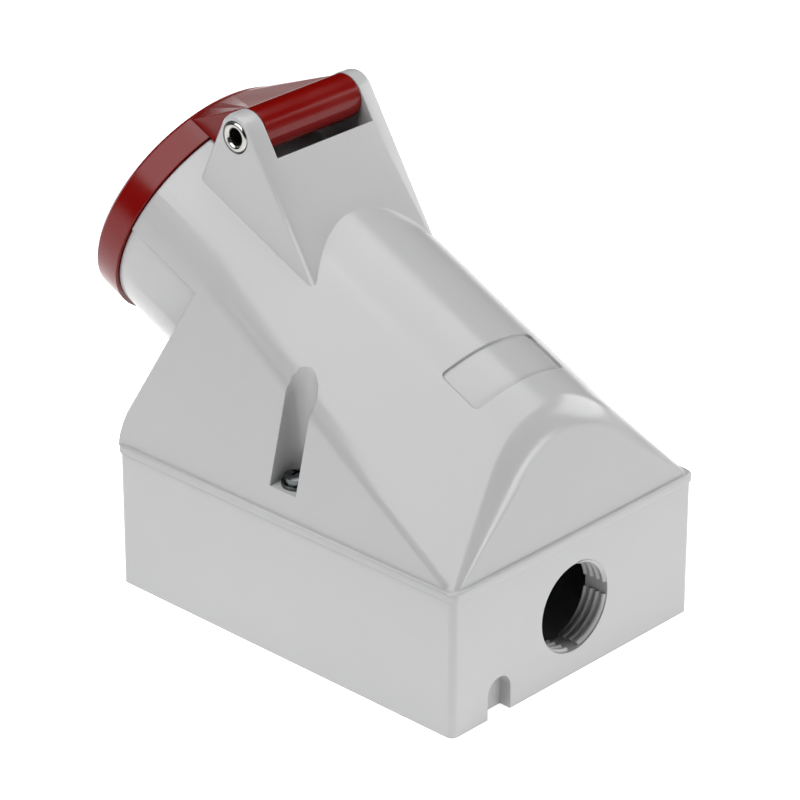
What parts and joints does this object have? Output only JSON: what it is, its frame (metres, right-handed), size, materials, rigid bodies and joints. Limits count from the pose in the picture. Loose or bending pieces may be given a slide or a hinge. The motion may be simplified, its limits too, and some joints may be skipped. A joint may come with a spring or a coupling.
{
  "type": "industrial wall socket",
  "caption": "Wall-mounted industrial power socket: grey box, hooded cover with a tilted round collar, contact insert, threaded cable entry and a red spring-closed lid.",
  "frame": {"origin": "centre of the flat back face that goes against the wall", "axes": "+X across the box, +Y from the cable entry to the socket end, +Z away from the wall"},
  "size_m": [0.0924, 0.15, 0.1329],
  "materials": {
    "housing": "satin moulded",
    "lid": "gloss moulded",
    "rubber": "matt",
    "insert": "moulded",
    "brass": "turned",
    "zinc": "zinc plated",
    "nickel": "nickel plated"
  },
  "bodies": {
    "housing": {"base_box": "housing", "housing_gasket": "rubber", "cover": "housing", "cover_screws": "zinc", "screw_washers": "zinc", "contact_carrier": "insert", "carrier_seal": "rubber", "terminal_housing": "insert", "carrier_screws": "zinc", "contact_l1": "brass", "contact_l2": "brass", "contact_l3": "brass", "contact_n": "brass", "contact_pe": "brass", "sleeve_springs": "zinc", "terminal_screws": "zinc", "hinge_pin": "nickel", "lid_spring": "zinc"},
    "lid": {"lid": "lid", "lid_gasket": "rubber"}
  },
  "joints": [
    {"name": "lid_hinge", "type": "hinge", "parent": "housing", "child": "lid", "pos_m": [0, 0.03755, 0.12679], "axis": [1, 0, 0], "range_deg": [0, 110], "stiffness_Nm_per_rad": 0.05, "springref_deg": -57.3}
  ]
}
